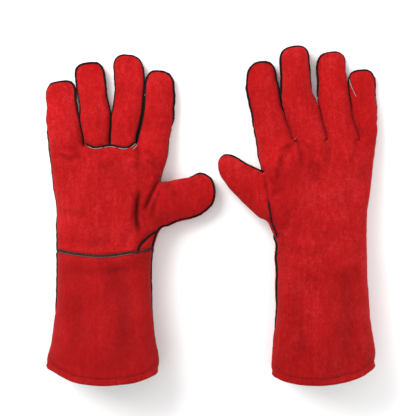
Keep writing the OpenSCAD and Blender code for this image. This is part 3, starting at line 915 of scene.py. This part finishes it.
def shell(g, name, verts, faces, normals, depth, offset=0.0, dull=None):
    """A leather or lining piece: an outer sheet, an inner one and the edges between, with smooth normals."""
    used = np.unique(faces)
    k = len(used)
    index = np.full(len(verts), -1)
    index[used] = np.arange(k)
    f, v, n = index[faces], verts[used], normals[used]
    all_v = g.world(np.vstack([v - n * offset, v - n * (offset + depth)]))
    sides = np.concatenate([f[:, [0, 1]], f[:, [1, 2]], f[:, [2, 0]]])
    _, first, count = np.unique(np.sort(sides, axis=1), axis=0, return_index=True, return_counts=True)
    tris = list(f) + list(f[:, ::-1] + k)
    quads = [(b, a, a + k, b + k) for a, b in sides[first[count == 1]]]
    if g.sgn < 0:
        tris = [t[::-1] for t in tris]
        quads = [q[::-1] for q in quads]
    outward = n * np.array([g.sgn, 1, 1])
    outward = np.vstack([outward, -outward])
    loops = [outward[i] for t in tris for i in t]
    for q in quads:
        a, b, c = (all_v[i] for i in q[:3])
        loops.extend([unit(np.cross(b - a, c - a))] * 4)
    o = piece(name, all_v, tris + quads, loops)
    # the painted shade and random tone, kept on the points so that the suede's colour is darkened by them
    if dull is not None:
        o.data.attributes.new("dull", "FLOAT", "POINT").data.foreach_set("value", np.tile(dull[used], 2))
    return o


def strip(g, name, runs, uneven=0.3, sides=8):
    """Rounded strips. Each run is a centre line, its directions out, a half width and a half thickness."""
    verts, faces, count = [], [], 0
    a = np.linspace(0, 2 * np.pi, sides, endpoint=False)
    for line, out, wide, thick in runs:
        m = len(line)
        if m < 3:
            continue        # too short for a strip
        tang = unit(np.gradient(line, axis=0))
        out = unit(out - (out * tang).sum(1)[:, None] * tang)
        up = np.cross(tang, out)
        wide = np.broadcast_to(np.asarray(wide, float), m)
        size = np.array([1 + uneven * (noise.noise(Vector(p / 5.0)) + 0.7 * noise.noise(Vector(p / 1.7)))
                         for p in line])
        taper = np.minimum(1, (np.minimum(np.arange(m), np.arange(m)[::-1]) + 0.6) / 2.2)
        for i in range(m):
            w, t = wide[i] * size[i] * taper[i], thick * size[i] * taper[i]
            verts.append(line[i] + out[i] * (np.cos(a) * w)[:, None] + up[i] * (np.sin(a) * t)[:, None])
        for row in range(count, count + (m - 1) * sides, sides):
            for k in range(sides):
                k2 = (k + 1) % sides
                faces.append((row + k, row + sides + k, row + sides + k2, row + k2))
        faces.append(tuple(count + k for k in range(sides)))
        faces.append(tuple(count + (m - 1) * sides + k for k in reversed(range(sides))))
        count += m * sides
    faces = [f[::-1] for f in faces] if g.sgn < 0 else faces
    return piece(name, g.world(np.vstack(verts)), faces)


# ---------- materials ----------

def new_material(name):
    """A material, its node tree and its surface shader."""
    mat = bpy.data.materials.new(name)
    mat.use_nodes = True
    nt = mat.node_tree
    return mat, nt, nt.nodes["Principled BSDF"]


def wire(nt, n, inputs):
    """Sets a shader node's inputs: each to a value, or linked to another node's output."""
    for k, v in inputs.items():
        if isinstance(v, bpy.types.NodeSocket):
            nt.links.new(v, n.inputs[k])
        else:
            n.inputs[k].default_value = v


def node(nt, kind, inputs, **settings):
    n = nt.nodes.new(kind)
    for k, v in settings.items():
        setattr(n, k, v)
    wire(nt, n, inputs)
    return n


def texture(nt, place, scale, detail, roughness, stretch=None, distortion=0.0):
    if stretch:
        place = node(nt, "ShaderNodeMapping", {"Vector": place, "Scale": stretch}).outputs["Vector"]
    return node(nt, "ShaderNodeTexNoise", {"Vector": place, "Scale": scale, "Detail": detail,
                                           "Roughness": roughness, "Distortion": distortion}).outputs["Fac"]


def ramp(nt, fac, first, last, *between):
    """A colour ramp. Each stop is a place and a colour."""
    n = node(nt, "ShaderNodeValToRGB", {"Fac": fac})
    e = n.color_ramp.elements
    for i, (place, colour) in enumerate((first, last)):
        e[i].position, e[i].color = place, (*colour, 1)
    for place, colour in between:
        e.new(place).color = (*colour, 1)
    return n.outputs["Color"]


def suede(name, dark, light, bright, painted_tip_light, painted_hem_shade):
    """Split leather with a brushed nap. The last two arguments scale its colour at the fingertips and at the
    hem: a painted light falloff, lighter towards the tips and darker towards the hem.
    """
    mat, nt, b = new_material(name)
    place = node(nt, "ShaderNodeTexCoord", {}).outputs["Object"]
    nap = texture(nt, place, 780.0, 3.0, 0.7)
    curl = texture(nt, place, 250.0, 3.0, 0.65, distortion=0.8)
    brush = texture(nt, place, 210.0, 2.0, 0.6, (1.0, 0.22, 0.6), 0.5)
    blotch = texture(nt, place, 70.0, 4.0, 0.6, (1.0, 0.6, 1.0))
    wide = texture(nt, place, 17.0, 2.0, 0.5)
    total = 0.0
    for fac, weight in ((nap, 0.42), (curl, 0.30), (brush, 0.20), (blotch, 0.17), (wide, 0.25)):
        add = node(nt, "ShaderNodeMath", {0: fac, 1: weight, 2: total}, operation="MULTIPLY_ADD")
        total = add.outputs[0]
    colour = ramp(nt, total, (0.50, dark), (0.86, bright), (0.675, light))
    # painted light falloff: the colour is scaled along y, from the hem's shade up to the fingertips' light
    along = node(nt, "ShaderNodeSeparateXYZ", {0: place}).outputs["Y"]
    tone = node(nt, "ShaderNodeMapRange", {"Value": along, "From Min": -0.16, "From Max": 0.16,
                                           "To Min": painted_hem_shade, "To Max": painted_tip_light})
    # painted shade in creases, hollows, seam valleys and finger grooves darkens the colour, with a random
    # tone on top
    dull = node(nt, "ShaderNodeAttribute", {}, attribute_name="dull").outputs["Fac"]
    less = node(nt, "ShaderNodeMath", {0: tone.outputs[0], 1: dull}, operation="SUBTRACT")
    scaled = node(nt, "ShaderNodeVectorMath", {0: colour, "Scale": less.outputs[0]}, operation="SCALE")
    rough = node(nt, "ShaderNodeMapRange", {"Value": blotch, "To Min": 0.82, "To Max": 0.98})
    normal = {}
    for fac, strength, depth in ((blotch, 0.35, 0.0016), (curl, 0.5, 0.0010), (nap, 0.6, 0.0006)):
        bump = node(nt, "ShaderNodeBump", {"Height": fac, "Strength": strength, "Distance": depth, **normal})
        normal = {"Normal": bump.outputs[0]}
    wire(nt, b, {"Base Color": scaled.outputs[0], "Roughness": rough.outputs[0], "Specular IOR Level": 0.07,
                 "Sheen Weight": 0.2, "Sheen Roughness": 0.5, "Sheen Tint": (1.0, 0.14, 0.13, 1), **normal})
    return mat


def plain(name, dark, light, scale, rough, bump, sheen=0.0, distance=0.0005, specular=0.12):
    """Thread, welt or cloth: two colours in a fine grain."""
    mat, nt, b = new_material(name)
    place = node(nt, "ShaderNodeTexCoord", {}).outputs["Object"]
    fac = texture(nt, place, scale, 4.0, 0.7)
    normal = node(nt, "ShaderNodeBump", {"Height": fac, "Strength": bump, "Distance": distance})
    wire(nt, b, {"Base Color": ramp(nt, fac, (0.35, dark), (0.7, light)), "Roughness": rough,
                 "Sheen Weight": sheen, "Specular IOR Level": specular, "Normal": normal.outputs[0]})
    return mat


CUFF_RED = ((0.23, 0.002, 0.0025), (0.295, 0.004, 0.005), (0.365, 0.011, 0.013))
RED = ((0.205, 0.0015, 0.002), (0.307, 0.0042, 0.005), (0.425, 0.017, 0.020))
MATS = {
    "leather": suede("red_suede", *RED, 1.12, 0.90),
    "cuff_leather": suede("red_suede_cuff", *CUFF_RED, 0.95, 0.91),
    "welt": plain("black_welt", (0.003, 0.002, 0.002), (0.012, 0.008, 0.008), 900.0, 0.85, 0.5),
    "wrist_welt": plain("grey_welt", (0.008, 0.005, 0.005), (0.05, 0.033, 0.03), 500.0, 0.85, 0.5),
    "lining": plain("cotton_fleece", (0.50, 0.46, 0.38), (0.72, 0.69, 0.60), 420.0, 0.95, 0.9,
                    sheen=0.4, distance=0.0012, specular=0.5),
    "thread": plain("grey_thread", (0.20, 0.15, 0.14), (0.45, 0.38, 0.35), 1500.0, 0.8, 0.4),
    "dark_thread": plain("dark_thread", (0.06, 0.04, 0.036), (0.17, 0.12, 0.105), 1500.0, 0.8, 0.4),
    "red_thread": plain("red_thread", (0.10, 0.002, 0.002), (0.22, 0.006, 0.007), 1500.0, 0.8, 0.4),
}


# ---------- building one glove ----------

def bend_with(g, o, part):
    """Bakes the piece's transform into its mesh. Points about the joint that its part belongs to are worked
    out, but not used.
    """
    n = g.name
    if part in ("hand", "cuff"):
        w = g.world(np.array([0, g.wrist_y, 30.0]))
        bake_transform(o)
    elif part == "thumb":
        th = g.digits["thumb"]
        a, b = th["root"] - 2 * th["along"], th["root"] + 17 * th["along"]
        tuple(g.world([a[0], a[1], 15]))
        tuple(g.world([b[0], b[1], 15]))
        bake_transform(o)
    else:
        y = g.knuckle_y + CUT[n]
        start, end = y + BEND_START, y + BEND_END
        tuple(g.world([0, start, 12]))
        tuple(g.world([0, end, 12]))
        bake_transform(o)


def dress(g, o, part, material, slot, *nodes):
    """Gives a piece its material and hides the nodes that it replaces, then bakes its transform. Its slot is
    not used.
    """
    o.data.materials.append(MATS[material])
    if nodes:
        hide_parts(*[f"{g.name}_{k}" for k in nodes])
    bend_with(g, o, part)


def add_leather(g, m, part):
    """The outer panels."""
    f = m["f"]
    wrap = np.zeros(len(f), bool)
    if g.up:
        # on this glove the back's leather wraps over the base of the thumb, up to the patch's seam
        line = m["p"][m["lines"]["patch"]]
        start, end = line[0], line[-1]
        around = np.vstack([line, (70, end[1] - 3), (70, g.wrist_y - 10), (start[0] + 1, start[1] - 3)])
        wrap = inside(m["centre"], around) & (part == "hand")
    for sheet, faces in (("top", f), ("bottom", f[:, ::-1])):
        side = "front" if g.up == (sheet == "top") else "back"
        for p in PARTS:
            own = (part == p) & ~(wrap & (sheet == "top"))
            label = "palm" if (p, side) == ("hand", "front") else f"{p}_{side}"
            verts, normals, dull = m[sheet], m["n_" + sheet], m["dull"][sheet]
            o = shell(g, f"{g.name}_{label}_leather", verts, faces[own], normals, LEATHER, dull=dull)
            tone = "cuff_leather" if g.up and sheet == "top" and p == "cuff" else "leather"
            dress(g, o, p, tone, "leather", label)
            if p == "hand" and sheet == "bottom" and g.up:
                o = shell(g, f"{g.name}_hand_back_wrap", m["top"], f[wrap], m["n_top"], LEATHER)
                dress(g, o, p, "cuff_leather", "leather")


def add_linings(g, m, part):
    f = m["f"]
    verts, normals = np.vstack([m["top"], m["bottom"]]), np.vstack([m["n_top"], m["n_bottom"]])
    for p in PARTS:
        own = part == p
        if p not in ("hand", "cuff"):
            own = own & (m["d"][f].min(1) > 2.0)
        faces = np.vstack([f[own], f[own][:, ::-1] + len(m["top"])])
        o = shell(g, f"{g.name}_{p}_lining_cloth", verts, faces, normals, LINING, LEATHER + LINING_GAP)
        dress(g, o, p, "lining", "lining", f"{p}_lining")


def add_welts(g, m):
    """The strips along the outline, and along the seams inside it."""
    line, roll, wide = m["top"][m["seam"]], m["roll"], m["wide"].copy()
    # the side welts end under the hem's binding
    wide[:3] = wide[-3:] = 0
    out = unit(np.column_stack([-m["inward"], roll * 1.1]))
    on_cuff = m["p"][m["seam"]][:, 1] < g.wrist_y - 2
    labels = np.where((m["labels"] == "side") & on_cuff, "cuff", m["labels"])
    turns = [0, *np.flatnonzero(labels[1:] != labels[:-1]) + 1, len(labels)]
    runs = {}
    for start, end in zip(turns, turns[1:]):
        a, b = max(0, start - 1), min(len(labels), end + 1)
        shown = np.flatnonzero(wide[a:b] > WELT_SHOWS)
        a, b = a + shown[0], a + shown[-1] + 1
        proud = (0.15 + (wide[a:b] - THIN) * 0.45) * (1 - 0.4 * np.abs(roll[a:b]))
        strand = (line[a:b] + out[a:b] * proud[:, None], out[a:b], wide[a:b] * 1.05, 1.05)
        runs.setdefault(labels[start], []).append(strand)
    for d in PARTS[2:]:
        dress(g, strip(g, f"{g.name}_{d}_welt_strip", runs[d]), d, "welt", "welt", f"{d}_welt")
    inner = []
    for seam, (half_wide, half_thick) in INNER_WELTS[g.name].items():
        ids = m["lines"][seam]
        normal = m["n_top"][ids]
        inner.append((m["top"][ids] + normal * 0.5, normal, half_wide, half_thick))
    if not g.up:
        ids = m["lines"]["root"]
        inner.append((m["bottom"][ids] + np.array([0, 0, 0.4]), m["n_bottom"][ids], 0.5, 0.8))
    o = strip(g, f"{g.name}_hand_welt_strip", runs["side"] + inner)
    dress(g, o, "hand", "welt", "welt", "hand_welt")
    o = strip(g, f"{g.name}_cuff_side_welt_strip", runs["cuff"])
    dress(g, o, "cuff", "welt", "welt", "cuff_side_welt")
    sheet, lifted = ("top", 0.7) if g.up else ("bottom", -0.1)
    ids = m["lines"]["wrist"]
    normal = m["n_" + sheet][ids]
    o = strip(g, f"{g.name}_wrist_welt_strip", [(m[sheet][ids] + normal * lifted, normal, 1.1, 1.3)])
    dress(g, o, "cuff", "wrist_welt", "welt", "wrist_welt")


def mouth_of(m):
    """The edge of the cuff's mouth as a loop, its normals, and its directions up the cuff."""
    hem = m["hem"]
    loop = np.vstack([m["top"][hem], m["bottom"][hem][::-1][1:-1]])
    normal = np.vstack([m["n_top"][hem], m["n_bottom"][hem][::-1][1:-1]])
    up = np.tile([0.0, 1.0, 0.0], (len(loop), 1))
    return loop, normal, unit(up - (up * normal).sum(1)[:, None] * normal)


def add_binding(g, loop, normal, up):
    """A folded strip round the mouth."""
    k = len(BINDING)
    verts = [loop[i] + up[i] * a + normal[i] * b for i in range(len(loop)) for a, b in BINDING]
    faces = []
    for i in range(len(loop)):
        j = (i + 1) % len(loop)
        for s in range(k):
            s2 = (s + 1) % k
            q = (i * k + s, i * k + s2, j * k + s2, j * k + s)
            faces.append(q if g.sgn > 0 else q[::-1])
    o = piece(f"{g.name}_cuff_hem_binding", g.world(np.array(verts)), faces)
    dress(g, o, "cuff", "leather", "leather", "cuff_binding")


def add_threads(g, m):
    """Thread that lies on the upper sheet."""
    for what, part, material, strokes in THREADS[g.name]:
        runs = []
        for points in strokes:
            drawn = g.drawn(points)
            line = resample(spline(drawn) if len(drawn) > 2 else drawn, 1.2)
            near, _ = nearest(line, m["p"])
            normal = m["n_top"][near]
            runs.append((np.column_stack([line, m["top"][near, 2]]) + normal * 0.7, normal, 0.36, 0.36))
        dress(g, strip(g, f"{g.name}_{what}", runs, 0.2, 6), part, material, "welt")


def add_stitches(g, loop, normal, up):
    """The stitches that hold the binding."""
    along = run_of(loop)
    line = loop + up * 4.0 + normal * 0.72
    runs = []
    for at in np.arange(2.0, along[-1] - 2.0, STITCH_PITCH):
        t = at + np.linspace(-STITCH / 2, STITCH / 2, 4)
        q, out = (np.column_stack([np.interp(t, along, v[:, k]) for k in range(3)]) for v in (line, normal))
        runs.append((q, unit(out), 0.38, 0.42))
    dress(g, strip(g, f"{g.name}_hem_stitches", runs, 0.0, 5), "cuff", "red_thread", "welt")


def build_glove(name):
    g = Glove(name)
    m = inflate(g, plan_mesh(g))
    part = regions(g, m)
    add_leather(g, m, part)
    add_linings(g, m, part)
    add_welts(g, m)
    mouth = mouth_of(m)
    add_binding(g, *mouth)
    add_threads(g, m)
    add_stitches(g, *mouth)


build_glove("palm_up")
build_glove("palm_down")

# ---------- camera, floor and light ----------

CAM_HEIGHT = 1.45
GLOVES_HEIGHT = 0.022       # the height that the camera is set for
VIEW_WIDTH = 0.4472         # what the picture takes in at that height
cam_data = bpy.data.cameras.new("camera")
cam = bpy.data.objects.new("camera", cam_data)
bpy.context.scene.collection.objects.link(cam)
bpy.context.scene.camera = cam
cam_data.sensor_width = 36.0
cam_data.lens = cam_data.sensor_width * (CAM_HEIGHT - GLOVES_HEIGHT) / VIEW_WIDTH
cam.location = (-0.0055, 0.0026, CAM_HEIGHT)
cam.rotation_euler = (0, 0, 0)
cam_data.clip_end = 20
bpy.context.scene.view_settings.view_transform = "Standard"

bpy.ops.mesh.primitive_plane_add(size=8, location=(0, 0, 0))
floor = bpy.context.object
floor.name = "floor"
mat, nt, b = new_material("pale_floor")
wire(nt, b, {"Base Color": (0.9, 0.9, 0.9, 1), "Roughness": 0.9})
floor.data.materials.append(mat)


def softbox(name, place, size, power):
    """A rectangular light that faces the gloves."""
    data = bpy.data.lights.new(name, "AREA")
    data.shape, data.size, data.size_y, data.energy = "RECTANGLE", size[0], size[1], power
    o = bpy.data.objects.new(name, data)
    o.location = place
    o.rotation_euler = (Vector((0, 0, 0.02)) - Vector(place)).to_track_quat("-Z", "Y").to_euler()
    bpy.context.scene.collection.objects.link(o)


softbox("key_box", (-0.95, 0.85, 1.25), (1.1, 1.1), 36)
softbox("rim_box", (1.25, -0.2, 0.55), (0.5, 1.0), 9)
softbox("top_box", (0.1, 0.2, 1.9), (1.2, 1.2), 9)
world = bpy.data.worlds.new("studio")
bpy.context.scene.world = world
world.use_nodes = True
wire(world.node_tree, world.node_tree.nodes["Background"], {"Color": (1, 1, 1, 1), "Strength": 0.55})
